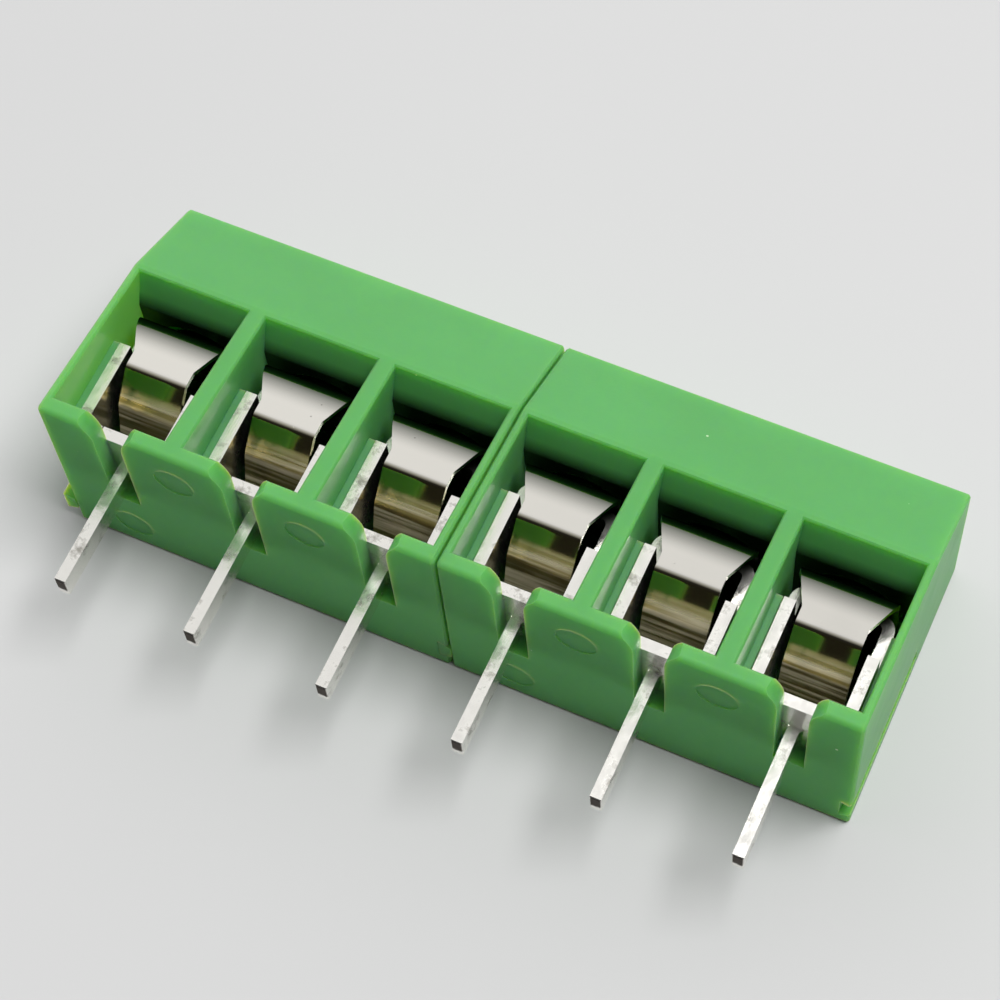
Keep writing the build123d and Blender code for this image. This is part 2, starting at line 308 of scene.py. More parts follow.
def tinned_brass_sheet(finish):
    """Brass sheet, stamped, folded and hot-tin dipped.

    To the eye: bright grey-white metal with dull blotches and fine die scratches. The pins' ends were
    sheared after tinning, so their upper part is bare and brown; the collars are painted dark as shade.
    """
    material, tree, shader = new_material("brass_sheet_hot_tinned")
    place = add(tree, "ShaderNodeTexCoord").outputs["Object"]
    blotches = add(tree, "ShaderNodeTexNoise", {
        "Vector": place, "Scale": per_mm(0.7), "Detail": 4.0, "Roughness": 0.65})
    dull = add(tree, "ShaderNodeMapRange", {"Value": blotches.outputs["Fac"], 1: 0.54, 2: 0.70})
    tin = add(tree, "ShaderNodeMix", {
        0: dull.outputs["Result"], 6: opaque(finish.tin), 7: opaque(finish.tin_dull)}, data_type="RGBA")

    # Bare metal on the sheared pin ends
    spot = add(tree, "ShaderNodeSeparateXYZ", {"Vector": place})
    end = add(tree, "ShaderNodeMapRange", {
        "Value": spot.outputs["Y"], 1: PIN_END + 0.045 * MM, 2: PIN_END + 0.005 * MM})
    ragged = add(tree, "ShaderNodeTexNoise", {
        "Vector": place, "Scale": per_mm(0.35), "Detail": 2.0})
    edge = add(tree, "ShaderNodeMath", {
        0: ragged.outputs["Fac"], 1: 0.25 * MM, 2: spot.outputs["Z"]}, operation="MULTIPLY_ADD")
    upper = add(tree, "ShaderNodeMapRange", {
        "Value": edge.outputs["Value"], 1: SHEAR_START, 2: SHEAR_FULL})
    bare = add(tree, "ShaderNodeMath", {
        0: end.outputs["Result"], 1: upper.outputs["Result"]}, operation="MULTIPLY")
    cut = add(tree, "ShaderNodeMix", {
        0: bare.outputs["Value"], 6: tin.outputs[2], 7: opaque(finish.pin_end)}, data_type="RGBA")

    # Painted shade: the collar, which stands above the frame, is darkened
    collar = add(tree, "ShaderNodeMapRange", {
        "Value": spot.outputs["Y"], 1: COLLAR_START, 2: COLLAR_FULL})
    colour = add(tree, "ShaderNodeMix", {
        0: collar.outputs["Result"], 6: cut.outputs[2], 7: opaque(finish.oil)}, data_type="RGBA")
    tree.links.new(colour.outputs[2], shader.inputs["Base Color"])

    # Dip finish: shiny crests, dull blotches
    gloss = add(tree, "ShaderNodeMapRange", {"Value": blotches.outputs["Fac"], 3: 0.12, 4: 0.36})
    rough = add(tree, "ShaderNodeMath", {
        0: bare.outputs["Value"], 1: 0.3, 2: gloss.outputs["Result"]}, operation="MULTIPLY_ADD")
    tree.links.new(rough.outputs["Value"], shader.inputs["Roughness"])

    # Ripples of the dip and fine die scratches along the sheet
    ripples = add(tree, "ShaderNodeTexNoise", {
        "Vector": place, "Scale": per_mm(0.5), "Detail": 3.0})
    stretched = add(tree, "ShaderNodeMapping", {"Vector": place, "Scale": (1.0, 0.12, 1.0)})
    scratches = add(tree, "ShaderNodeTexNoise", {
        "Vector": stretched.outputs["Vector"], "Scale": per_mm(0.06), "Detail": 1.0})
    relief = add(tree, "ShaderNodeMath", {
        0: scratches.outputs["Fac"], 1: 0.15, 2: ripples.outputs["Fac"]}, operation="MULTIPLY_ADD")
    skin = add(tree, "ShaderNodeBump", {
        "Height": relief.outputs["Value"], "Strength": 0.35, "Distance": 0.03 * MM})
    tree.links.new(skin.outputs["Normal"], shader.inputs["Normal"])
    shader.inputs["Metallic"].default_value = 1.0
    return material


def nickelled_leaf(finish):
    """Hard-rolled bronze leaf, nickel plated.

    To the eye: nearly a mirror, so the flat plate shows the bright room and the ramp below its fold,
    a little yellowed, shows the green housing. The plate has pin-prick pits; the arm is streaked
    where bending raised fine ridges and the wires rubbed the nickel thin.
    """
    material, tree, shader = new_material("bronze_leaf_nickel_plated")
    place = add(tree, "ShaderNodeTexCoord").outputs["Object"]
    height = add(tree, "ShaderNodeSeparateXYZ", {"Vector": place}).outputs["Y"]
    on_arm = add(tree, "ShaderNodeMapRange", {
        "Value": height, 1: ARM_START, 2: ARM_FULL}).outputs["Result"]

    # Ridges across the arm are about 0.05 mm apart; drawn at 0.2 mm so that they show
    stretched = add(tree, "ShaderNodeMapping", {"Vector": place, "Scale": (0.03, 1.0, 1.0)})
    ridges = add(tree, "ShaderNodeTexNoise", {
        "Vector": stretched.outputs["Vector"], "Scale": per_mm(0.2), "Detail": 3.0}).outputs["Fac"]
    streaks = add(tree, "ShaderNodeMapRange", {"Value": ridges, 1: 0.40, 2: 0.60}).outputs["Result"]
    rubbed = add(tree, "ShaderNodeMath", {0: on_arm, 1: streaks}, operation="MULTIPLY").outputs[0]
    folded = add(tree, "ShaderNodeMapRange", {
        "Value": height, 1: FOLD_START, 2: FOLD_FULL})
    yellowed = add(tree, "ShaderNodeMix", {
        0: folded.outputs["Result"], 6: opaque(finish.leaf), 7: opaque(finish.tarnish)}, data_type="RGBA")
    worn = add(tree, "ShaderNodeMix", {
        0: rubbed, 6: yellowed.outputs[2], 7: opaque(finish.bronze)}, data_type="RGBA")

    # Pits, 0.05 mm across and less
    pits = add(tree, "ShaderNodeTexVoronoi", {
        "Vector": place, "Scale": per_mm(0.55), "Randomness": 1.0})
    speck = add(tree, "ShaderNodeTexNoise", {"Vector": place, "Scale": per_mm(0.9), "Detail": 2.0})
    reach = add(tree, "ShaderNodeMath", {
        0: speck.outputs["Fac"], 1: 0.14, 2: -0.03}, operation="MULTIPLY_ADD")
    pitted = add(tree, "ShaderNodeMath", {
        0: pits.outputs["Distance"], 1: reach.outputs["Value"]}, operation="LESS_THAN").outputs[0]
    spotted = add(tree, "ShaderNodeMix", {
        0: pitted, 6: worn.outputs[2], 7: opaque(finish.tin_dull)}, data_type="RGBA")

    # Painted reflection of shade: the flange and upper bend are darkened, fading out below the bend
    bend_shade = add(tree, "ShaderNodeMapRange", {
        "Value": height, 1: BEND_SHADE_START, 2: BEND_SHADE_FULL},
        interpolation_type="SMOOTHSTEP")
    colour = add(tree, "ShaderNodeMix", {
        0: bend_shade.outputs["Result"], 6: spotted.outputs[2], 7: opaque(finish.oil)}, data_type="RGBA")
    tree.links.new(colour.outputs[2], shader.inputs["Base Color"])

    # Bright plate; the arm is satin, and partly bare of metal shine where it is rubbed
    gloss = add(tree, "ShaderNodeMapRange", {"Value": speck.outputs["Fac"], 3: 0.05, 4: 0.16})
    rough = add(tree, "ShaderNodeMath", {
        0: on_arm, 1: 0.2, 2: gloss.outputs["Result"]}, operation="MULTIPLY_ADD")
    tree.links.new(rough.outputs["Value"], shader.inputs["Roughness"])
    shine = add(tree, "ShaderNodeMapRange", {"Value": rubbed, 3: 1.0, 4: 0.5})
    tree.links.new(shine.outputs["Result"], shader.inputs["Metallic"])
    relief = add(tree, "ShaderNodeMath", {0: pitted, 1: -0.3, 2: rubbed}, operation="MULTIPLY_ADD")
    skin = add(tree, "ShaderNodeBump", {
        "Height": relief.outputs["Value"], "Strength": 0.3, "Distance": 0.01 * MM})
    tree.links.new(skin.outputs["Normal"], shader.inputs["Normal"])
    return material


def zinc_plated_steel(finish):
    """Free-cutting steel, turned and thread rolled, zinc plated.

    To the eye: cool grey metal, half bright, with the fine rings that the lathe tool left; the
    thread is painted dark as shade.
    """
    material, tree, shader = new_material("steel_turned_zinc_plated")
    turning = add(tree, "ShaderNodeAttribute", attribute_name="from_axis").outputs["Vector"]
    across = add(tree, "ShaderNodeVectorMath", {0: turning, 1: (1.0, 0.0, 1.0)}, operation="MULTIPLY")
    reach = add(tree, "ShaderNodeVectorMath", {0: across.outputs["Vector"]}, operation="LENGTH")
    rings = add(tree, "ShaderNodeTexNoise", {
        "W": reach.outputs["Value"], "Scale": per_mm(0.09), "Detail": 2.0}, noise_dimensions="1D")
    bloom = add(tree, "ShaderNodeTexNoise", {"Vector": turning, "Scale": per_mm(0.6), "Detail": 3.0})
    plate = add(tree, "ShaderNodeMix", {
        0: bloom.outputs["Fac"], 6: opaque(finish.zinc), 7: opaque(finish.tin_dull)}, data_type="RGBA")

    # Painted shade: the thread is darkened up to just under the head
    along = add(tree, "ShaderNodeSeparateXYZ", {"Vector": turning}).outputs["Y"]
    painted_shade_mask = add(tree, "ShaderNodeMapRange", {"Value": along, 1: THREAD_SHADE_END, 2: THREAD_SHADE_FULL})
    colour = add(tree, "ShaderNodeMix", {
        0: painted_shade_mask.outputs["Result"], 6: plate.outputs[2], 7: opaque(finish.oil)}, data_type="RGBA")
    tree.links.new(colour.outputs[2], shader.inputs["Base Color"])
    gloss = add(tree, "ShaderNodeMapRange", {"Value": bloom.outputs["Fac"], 3: 0.24, 4: 0.44})
    tree.links.new(gloss.outputs["Result"], shader.inputs["Roughness"])
    skin = add(tree, "ShaderNodeBump", {
        "Height": rings.outputs["Fac"], "Strength": 0.25, "Distance": 0.02 * MM})
    tree.links.new(skin.outputs["Normal"], shader.inputs["Normal"])
    shader.inputs["Metallic"].default_value = 1.0
    return material


# Geometry trees

def new_tree(name, inputs):
    """Start a geometry tree with named lengths and a material; return it with its input sockets."""
    tree = bpy.data.node_groups.new(name, "GeometryNodeTree")
    tree.interface.new_socket(name="Geometry", in_out="OUTPUT", socket_type="NodeSocketGeometry")
    for label in inputs:
        tree.interface.new_socket(name=label, in_out="INPUT", socket_type="NodeSocketFloat")
    tree.interface.new_socket(name="Material", in_out="INPUT", socket_type="NodeSocketMaterial")
    return tree, add(tree, "NodeGroupInput").outputs


def close_tree(tree, geometry, material):
    """Shade by angle, realize, set the material and end the tree."""
    smooth = add(tree, "GeometryNodeSetShadeSmooth", {"Geometry": geometry, "Shade Smooth": True})
    angle = add(tree, "GeometryNodeInputMeshEdgeAngle")
    sharp = add(tree, "FunctionNodeCompare", {
        0: angle.outputs["Unsigned Angle"], 1: SHARP_EDGE}, operation="GREATER_THAN")
    edged = add(tree, "GeometryNodeSetShadeSmooth", {
        "Geometry": smooth.outputs["Geometry"], "Selection": sharp.outputs["Result"],
        "Shade Smooth": False}, domain="EDGE")
    real = add(tree, "GeometryNodeRealizeInstances", {"Geometry": edged.outputs["Geometry"]})
    dressed = add(tree, "GeometryNodeSetMaterial", {
        "Geometry": real.outputs["Geometry"], "Material": material})
    add(tree, "NodeGroupOutput", {"Geometry": dressed.outputs["Geometry"]})


def leaf_tree():
    """Folded leaf: a strip swept along a filleted path, tapered, thickened and forked."""
    tree, size = new_tree("folded_leaf", (
        "Pole", "Flange height", "Flange back", "Front depth", "Fold height", "Knee height",
        "Knee depth", "Arm end height", "Arm end depth", "Bend radius", "Fold radius", "Knee radius",
        "Flange width", "Arm width", "Taper top", "Taper end", "Fork radius", "Screw depth", "Leaf"))

    # Corners of the path from the flange, down the plate and along the arm
    corners = (("Flange height", "Flange back"), ("Flange height", "Front depth"),
               ("Fold height", "Front depth"), ("Knee height", "Knee depth"),
               ("Arm end height", "Arm end depth"))
    index = add(tree, "GeometryNodeInputIndex").outputs["Index"]
    spot = add(tree, "GeometryNodeIndexSwitch", {"Index": index}, data_type="VECTOR")
    radius = add(tree, "GeometryNodeIndexSwitch", {"Index": index}, data_type="FLOAT")
    for switch in (spot, radius):
        while len(switch.index_switch_items) < len(corners):
            switch.index_switch_items.new()
    for number, (height, depth) in enumerate(corners):
        corner = add(tree, "ShaderNodeCombineXYZ", {"X": size["Pole"], "Y": size[height], "Z": size[depth]})
        tree.links.new(corner.outputs["Vector"], spot.inputs[1 + number])
    for number, name in ((1, "Bend radius"), (2, "Fold radius"), (3, "Knee radius")):
        tree.links.new(size[name], radius.inputs[1 + number])
    dots = add(tree, "GeometryNodeMeshLine", {"Count": len(corners)})
    route = add(tree, "GeometryNodeSetPosition", {
        "Geometry": dots.outputs["Mesh"], "Position": spot.outputs["Output"]})
    path = add(tree, "GeometryNodeMeshToCurve", {"Mesh": route.outputs["Geometry"]})
    bent = add(tree, "GeometryNodeFilletCurve", {
        "Curve": path.outputs["Curve"], "Radius": radius.outputs["Output"], "Count": BEND_STEPS}, mode="POLY")

    # Strip laid along the path, as wide as its height says
    strip = add(tree, "GeometryNodeMeshGrid", {
        "Size X": 1.0, "Size Y": 1.0, "Vertices X": STRIP_STEPS, "Vertices Y": STRIP_COLUMNS})
    unit = add(tree, "ShaderNodeSeparateXYZ", {"Vector": add(tree, "GeometryNodeInputPosition").outputs[0]})
    along = add(tree, "ShaderNodeMath", {0: unit.outputs["X"], 1: 0.5}, operation="ADD").outputs[0]
    sample = add(tree, "GeometryNodeSampleCurve", {
        "Curves": bent.outputs["Curve"], "Factor": along}, mode="FACTOR")
    level = add(tree, "ShaderNodeSeparateXYZ", {"Vector": sample.outputs["Position"]}).outputs["Y"]
    width = add(tree, "ShaderNodeMapRange", {
        "Value": level, 1: size["Taper end"], 2: size["Taper top"],
        3: size["Arm width"], 4: size["Flange width"]})
    side = add(tree, "ShaderNodeMath", {
        0: unit.outputs["Y"], 1: width.outputs["Result"]}, operation="MULTIPLY").outputs[0]
    aside = add(tree, "ShaderNodeCombineXYZ", {"X": side})
    laid = add(tree, "GeometryNodeSetPosition", {
        "Geometry": strip.outputs["Mesh"], "Position": sample.outputs["Position"],
        "Offset": aside.outputs["Vector"]})

    # Thickness, half to each side of the path
    normal = add(tree, "GeometryNodeInputNormal").outputs["Normal"]
    back = add(tree, "ShaderNodeMath", {0: size["Leaf"], 1: -0.5}, operation="MULTIPLY").outputs[0]
    inward = add(tree, "ShaderNodeVectorMath", {0: normal, "Scale": back}, operation="SCALE")
    lower = add(tree, "GeometryNodeSetPosition", {
        "Geometry": laid.outputs["Geometry"], "Offset": inward.outputs["Vector"]})
    raised = add(tree, "GeometryNodeExtrudeMesh", {
        "Mesh": lower.outputs["Geometry"], "Offset Scale": size["Leaf"], "Individual": False})
    under = add(tree, "GeometryNodeFlipFaces", {"Mesh": lower.outputs["Geometry"]})
    both = add(tree, "GeometryNodeJoinGeometry")
    tree.links.new(under.outputs["Mesh"], both.inputs["Geometry"])
    tree.links.new(raised.outputs["Mesh"], both.inputs["Geometry"])
    closed = add(tree, "GeometryNodeMergeByDistance", {
        "Geometry": both.outputs["Geometry"], "Distance": 0.001 * MM})

    # Fork round the thread collar
    reach = add(tree, "ShaderNodeMath", {0: size["Leaf"], 1: 3.0}, operation="MULTIPLY").outputs[0]
    bore = add(tree, "GeometryNodeMeshCylinder", {
        "Vertices": FORK_SIDES, "Radius": size["Fork radius"], "Depth": reach})
    centre = add(tree, "ShaderNodeCombineXYZ", {
        "X": size["Pole"], "Y": size["Flange height"], "Z": size["Screw depth"]})
    turned = add(tree, "GeometryNodeTransform", {
        "Geometry": bore.outputs["Mesh"], "Translation": centre.outputs["Vector"],
        "Rotation": (math.radians(90), 0.0, 0.0)})
    gap = add(tree, "ShaderNodeMath", {0: size["Fork radius"], 1: 2.0}, operation="MULTIPLY").outputs[0]
    opening = add(tree, "ShaderNodeCombineXYZ", {"X": gap, "Y": reach, "Z": size["Screw depth"]})
    block = add(tree, "GeometryNodeMeshCube", {"Size": opening.outputs["Vector"]})
    middle = add(tree, "ShaderNodeMath", {0: size["Screw depth"], 1: 0.5}, operation="MULTIPLY").outputs[0]
    behind = add(tree, "ShaderNodeCombineXYZ", {
        "X": size["Pole"], "Y": size["Flange height"], "Z": middle})
    mouth = add(tree, "GeometryNodeTransform", {
        "Geometry": block.outputs["Mesh"], "Translation": behind.outputs["Vector"]})
    forked = add(tree, "GeometryNodeMeshBoolean", {0: closed.outputs["Geometry"]}, operation="DIFFERENCE")
    tree.links.new(turned.outputs["Geometry"], forked.inputs["Mesh 2"])
    tree.links.new(mouth.outputs["Geometry"], forked.inputs["Mesh 2"])
    clean = add(tree, "GeometryNodeMergeByDistance", {
        "Geometry": forked.outputs["Mesh"], "Distance": 0.004 * MM})
    close_tree(tree, clean.outputs["Geometry"], size["Material"])
    return tree


def screw_tree():
    """Slotted cheese-head screw: a helical shank and a bevelled head with its driver slot."""
    tree, size = new_tree("slotted_screw", (
        "Pole", "Tip height", "Axis depth", "Shank", "Shank radius", "Tip bevel", "Pitch",
        "Thread depth", "Head radius", "Head height", "Head bevel", "Slot width", "Slot depth"))

    # Thread: a sheet rolled round the axis, its radius rising and falling along the helix; its last
    # ring is drawn to a point under the head, and closes it
    sheet = add(tree, "GeometryNodeMeshGrid", {
        "Size X": 1.0, "Size Y": 1.0, "Vertices X": THREAD_SIDES + 1, "Vertices Y": THREAD_ROWS})
    unit = add(tree, "ShaderNodeSeparateXYZ", {"Vector": add(tree, "GeometryNodeInputPosition").outputs[0]})
    around = add(tree, "ShaderNodeMath", {
        0: unit.outputs["X"], 1: 2 * math.pi}, operation="MULTIPLY").outputs[0]
    share = add(tree, "ShaderNodeMath", {0: unit.outputs["Y"], 1: 0.5}, operation="ADD").outputs[0]
    rise = add(tree, "ShaderNodeMath", {0: share, 1: size["Shank"]}, operation="MULTIPLY").outputs[0]
    climb = add(tree, "ShaderNodeMath", {0: rise, 1: size["Pitch"]}, operation="DIVIDE").outputs[0]
    turns = add(tree, "ShaderNodeMath", {0: climb, 1: unit.outputs["X"]}, operation="SUBTRACT").outputs[0]
    wave = add(tree, "ShaderNodeMath", {0: turns, 1: 0.5}, operation="PINGPONG").outputs[0]
    flank = add(tree, "ShaderNodeMath", {0: wave, 1: 2.0}, operation="MULTIPLY").outputs[0]
    crest = add(tree, "ShaderNodeMath", {0: flank, 1: size["Thread depth"]}, operation="MULTIPLY").outputs[0]
    radius = add(tree, "ShaderNodeMath", {0: size["Shank radius"], 1: crest}, operation="SUBTRACT").outputs[0]
    tip_radius = add(tree, "ShaderNodeMath", {
        0: size["Shank radius"], 1: size["Tip bevel"]}, operation="SUBTRACT").outputs[0]
    tip = add(tree, "ShaderNodeMath", {0: tip_radius, 1: rise}, operation="ADD").outputs[0]
    round_end = add(tree, "ShaderNodeMath", {0: radius, 1: tip}, operation="MINIMUM").outputs[0]
    below_head = add(tree, "ShaderNodeMath", {0: share, 1: 0.999}, operation="LESS_THAN").outputs[0]
    shaped = add(tree, "ShaderNodeMath", {0: round_end, 1: below_head}, operation="MULTIPLY").outputs[0]
    cosine = add(tree, "ShaderNodeMath", {0: around}, operation="COSINE").outputs[0]
    sine = add(tree, "ShaderNodeMath", {0: around}, operation="SINE").outputs[0]
    thread_x = add(tree, "ShaderNodeMath", {0: shaped, 1: cosine}, operation="MULTIPLY").outputs[0]
    thread_y = add(tree, "ShaderNodeMath", {0: shaped, 1: sine}, operation="MULTIPLY").outputs[0]
    rolled = add(tree, "ShaderNodeCombineXYZ", {"X": thread_x, "Y": thread_y, "Z": rise})
    shank = add(tree, "GeometryNodeSetPosition", {
        "Geometry": sheet.outputs["Mesh"], "Position": rolled.outputs["Vector"]})
    face = add(tree, "GeometryNodeMeshCircle", {
        "Vertices": THREAD_SIDES, "Radius": tip_radius}, fill_type="NGON")
    flat = add(tree, "GeometryNodeFlipFaces", {"Mesh": face.outputs["Mesh"]})
    rod = add(tree, "GeometryNodeJoinGeometry")
    tree.links.new(flat.outputs["Mesh"], rod.inputs["Geometry"])
    tree.links.new(shank.outputs["Geometry"], rod.inputs["Geometry"])
    sealed = add(tree, "GeometryNodeMergeByDistance", {
        "Geometry": rod.outputs["Geometry"], "Distance": 0.002 * MM})

    # Head: a cylinder whose top ring is drawn in, then slotted
    head = add(tree, "GeometryNodeMeshCylinder", {
        "Vertices": HEAD_SIDES, "Side Segments": 2, "Radius": size["Head radius"],
        "Depth": size["Head height"]})
    point = add(tree, "GeometryNodeInputPosition").outputs[0]
    at = add(tree, "ShaderNodeSeparateXYZ", {"Vector": point})
    half = add(tree, "ShaderNodeMath", {0: size["Head height"], 1: 0.5}, operation="MULTIPLY").outputs[0]
    quarter = add(tree, "ShaderNodeMath", {0: size["Head height"], 1: 0.25}, operation="MULTIPLY").outputs[0]
    is_top = add(tree, "ShaderNodeMath", {
        0: at.outputs["Z"], 1: quarter}, operation="GREATER_THAN").outputs[0]
    below = add(tree, "ShaderNodeMath", {0: quarter, 1: -1.0}, operation="MULTIPLY").outputs[0]
    is_low = add(tree, "ShaderNodeMath", {0: at.outputs["Z"], 1: below}, operation="LESS_THAN").outputs[0]
    is_end = add(tree, "ShaderNodeMath", {0: is_top, 1: is_low}, operation="ADD").outputs[0]
    is_middle = add(tree, "ShaderNodeMath", {0: 1.0, 1: is_end}, operation="SUBTRACT").outputs[0]
    drawn = add(tree, "ShaderNodeMath", {
        0: size["Head bevel"], 1: size["Head radius"]}, operation="DIVIDE").outputs[0]
    drawn_in = add(tree, "ShaderNodeMath", {0: is_top, 1: drawn}, operation="MULTIPLY").outputs[0]
    keep = add(tree, "ShaderNodeMath", {0: 1.0, 1: drawn_in}, operation="SUBTRACT").outputs[0]
    shoulder = add(tree, "ShaderNodeMath", {0: half, 1: size["Head bevel"]}, operation="SUBTRACT").outputs[0]
    shifted = add(tree, "ShaderNodeMath", {0: is_middle, 1: shoulder}, operation="MULTIPLY").outputs[0]
    height = add(tree, "ShaderNodeMath", {0: at.outputs["Z"], 1: shifted}, operation="ADD").outputs[0]
    head_x = add(tree, "ShaderNodeMath", {0: at.outputs["X"], 1: keep}, operation="MULTIPLY").outputs[0]
    head_y = add(tree, "ShaderNodeMath", {0: at.outputs["Y"], 1: keep}, operation="MULTIPLY").outputs[0]
    bevelled = add(tree, "ShaderNodeCombineXYZ", {"X": head_x, "Y": head_y, "Z": height})
    domed = add(tree, "GeometryNodeSetPosition", {
        "Geometry": head.outputs["Mesh"], "Position": bevelled.outputs["Vector"]})
    long_side = add(tree, "ShaderNodeMath", {0: size["Head radius"], 1: 3.0}, operation="MULTIPLY").outputs[0]
    deep = add(tree, "ShaderNodeMath", {0: size["Slot depth"], 1: 2.0}, operation="MULTIPLY").outputs[0]
    cut = add(tree, "ShaderNodeCombineXYZ", {"X": long_side, "Y": size["Slot width"], "Z": deep})
    bar = add(tree, "GeometryNodeMeshCube", {"Size": cut.outputs["Vector"]})
    above = add(tree, "ShaderNodeCombineXYZ", {"Z": half})
    blade = add(tree, "GeometryNodeTransform", {
        "Geometry": bar.outputs["Mesh"], "Translation": above.outputs["Vector"]})
    slotted = add(tree, "GeometryNodeMeshBoolean", {0: domed.outputs["Geometry"]}, operation="DIFFERENCE")
    tree.links.new(blade.outputs["Geometry"], slotted.inputs["Mesh 2"])
    seat = add(tree, "ShaderNodeMath", {0: size["Shank"], 1: half}, operation="ADD").outputs[0]
    lift = add(tree, "ShaderNodeCombineXYZ", {"Z": seat})
    seated = add(tree, "GeometryNodeTransform", {
        "Geometry": slotted.outputs["Mesh"], "Translation": lift.outputs["Vector"]})

    # Stand the screw on its axis
    whole = add(tree, "GeometryNodeJoinGeometry")
    tree.links.new(seated.outputs["Geometry"], whole.inputs["Geometry"])
    tree.links.new(sealed.outputs["Geometry"], whole.inputs["Geometry"])
    axis = add(tree, "ShaderNodeCombineXYZ", {
        "X": size["Pole"], "Y": size["Tip height"], "Z": size["Axis depth"]})
    stood = add(tree, "GeometryNodeTransform", {
        "Geometry": whole.outputs["Geometry"], "Translation": axis.outputs["Vector"],
        "Rotation": (math.radians(-90), 0.0, 0.0)})
    off = add(tree, "ShaderNodeVectorMath", {
        0: add(tree, "GeometryNodeInputPosition").outputs[0], 1: axis.outputs["Vector"]},
        operation="SUBTRACT")
    marked = add(tree, "GeometryNodeStoreNamedAttribute", {
        "Geometry": stood.outputs["Geometry"], "Name": "from_axis", "Value": off.outputs["Vector"]},
        data_type="FLOAT_VECTOR", domain="POINT")
    close_tree(tree, marked.outputs["Geometry"], size["Material"])
    return tree


def pole_places():
    """Where each pole stands along the row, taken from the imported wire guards."""
    boxes = [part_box(f"wire_guard_{number}") for number in range(1, POLES + 1)]
    return [(low.x + high.x) / 2 for low, high in boxes]


def grow(name, tree, values, material):
    """Run a geometry tree with its inputs set, and return the plain mesh object it makes."""
    mesh = bpy.data.meshes.new(name)
    piece = bpy.data.objects.new(name, mesh)
    bpy.context.scene.collection.objects.link(piece)
    modifier = piece.modifiers.new("shape", "NODES")
    modifier.node_group = tree
    for socket in tree.interface.items_tree:
        if socket.in_out == "INPUT":
            chosen = material if socket.name == "Material" else values[socket.name]
            modifier[socket.identifier] = chosen
    bpy.context.view_layer.update()
    evaluated = piece.evaluated_get(bpy.context.evaluated_depsgraph_get())
    plain = bpy.data.meshes.new_from_object(evaluated)
    if not plain.polygons:
        raise RuntimeError(f"{name} came out with no faces")
    piece.modifiers.remove(modifier)
    piece.data = plain
    plain.name = name
    bpy.data.meshes.remove(mesh)
    return piece


def dress(nodes, material):
    """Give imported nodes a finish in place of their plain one."""
    for name in nodes:
        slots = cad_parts[name].data.materials
        slots.clear()
        slots.append(material)


# Stage

def lay_floor(studio):
    """Lay a pale, matt paper sweep under the part."""
    half = studio.floor_side / 2
    mesh = bpy.data.meshes.new("studio_floor")
    mesh.from_pydata([(-half, -half, 0), (half, -half, 0), (half, half, 0), (-half, half, 0)],
                     [], [(0, 1, 2, 3)])
    floor = bpy.data.objects.new("studio_floor", mesh)
    bpy.context.scene.collection.objects.link(floor)
    paper, tree, shader = new_material("paper_sweep_matt")
    place = add(tree, "ShaderNodeTexCoord").outputs["Object"]
    pulp = add(tree, "ShaderNodeTexNoise", {"Vector": place, "Scale": per_mm(25.0), "Detail": 2.0})
    shade = add(tree, "ShaderNodeMix", {
        0: pulp.outputs["Fac"], 6: opaque(studio.floor),
        7: opaque([v * 0.97 for v in studio.floor])}, data_type="RGBA")
    tree.links.new(shade.outputs[2], shader.inputs["Base Color"])
    shader.inputs["Roughness"].default_value = 0.85
    shader.inputs["Specular IOR Level"].default_value = 0.1
    mesh.materials.append(paper)


def hang_soft_box(studio):
    """Hang a soft box above the part, aimed at it."""
    light = bpy.data.lights.new("soft_box", "AREA")
    light.energy = studio.key_power
    light.size = studio.key_side
    lamp = bpy.data.objects.new("soft_box", light)
    lamp.location = studio.key_place
    lamp.rotation_euler = (-lamp.location).to_track_quat("-Z", "Y").to_euler()
    bpy.context.scene.collection.objects.link(lamp)


def light_room(studio):
    """Make the room bright behind and above the part, and dim in front of it."""
    world = bpy.data.worlds.new("room_light")
    world.use_nodes = True
    tree = world.node_tree
    way = add(tree, "ShaderNodeTexCoord").outputs["Generated"]
    facing = add(tree, "ShaderNodeVectorMath", {0: way, 1: studio.bright_side}, operation="DOT_PRODUCT")
    air = add(tree, "ShaderNodeMapRange", {
        "Value": facing.outputs["Value"], 1: 0.15, 2: 0.9, 3: studio.air_dim, 4: studio.air_bright})
    seen = add(tree, "ShaderNodeLightPath").outputs["Is Camera Ray"]
    shown = add(tree, "ShaderNodeMix", {0: seen, 2: air.outputs["Result"], 3: studio.backdrop})
    room = tree.nodes["Background"]
    room.inputs["Color"].default_value = (1.0, 1.0, 1.0, 1.0)
    tree.links.new(shown.outputs[0], room.inputs["Strength"])
    bpy.context.scene.world = world
    bpy.context.scene.view_settings.view_transform = "Standard"


def set_camera(studio):
    """Set the camera at the photo's angle, turned a little about its own axis."""
    lens = bpy.data.cameras.new("camera")
    lens.lens = studio.lens
    lens.sensor_width = 36.0
    lens.sensor_fit = "HORIZONTAL"
    lens.clip_start = 0.001
    camera = bpy.data.objects.new("camera", lens)
    right = Vector((0.90872406, 0.41392046, -0.05376277))
    ahead = Vector((-0.23097583, 0.39138722, -0.8907672))
    spot = Vector((0.02195251, -0.03524442, 0.08823866))
    rise = right.cross(ahead)
    camera.matrix_world = Matrix((
        (right.x, rise.x, -ahead.x, spot.x),
        (right.y, rise.y, -ahead.y, spot.y),
        (right.z, rise.z, -ahead.z, spot.z),
        (0.0, 0.0, 0.0, 1.0)))
    bpy.context.scene.collection.objects.link(camera)
    bpy.context.scene.camera = camera


# Operators

class TERMINAL_OT_housings(bpy.types.Operator):
    """Give both moulded housings their green polyamide"""
    bl_idname = "terminal.housings"
    bl_label = "Housings"

    def execute(self, context):
        dress(("housing_left", "housing_right"), moulded_polyamide(context.scene.terminal_finishes))
        return {"FINISHED"}


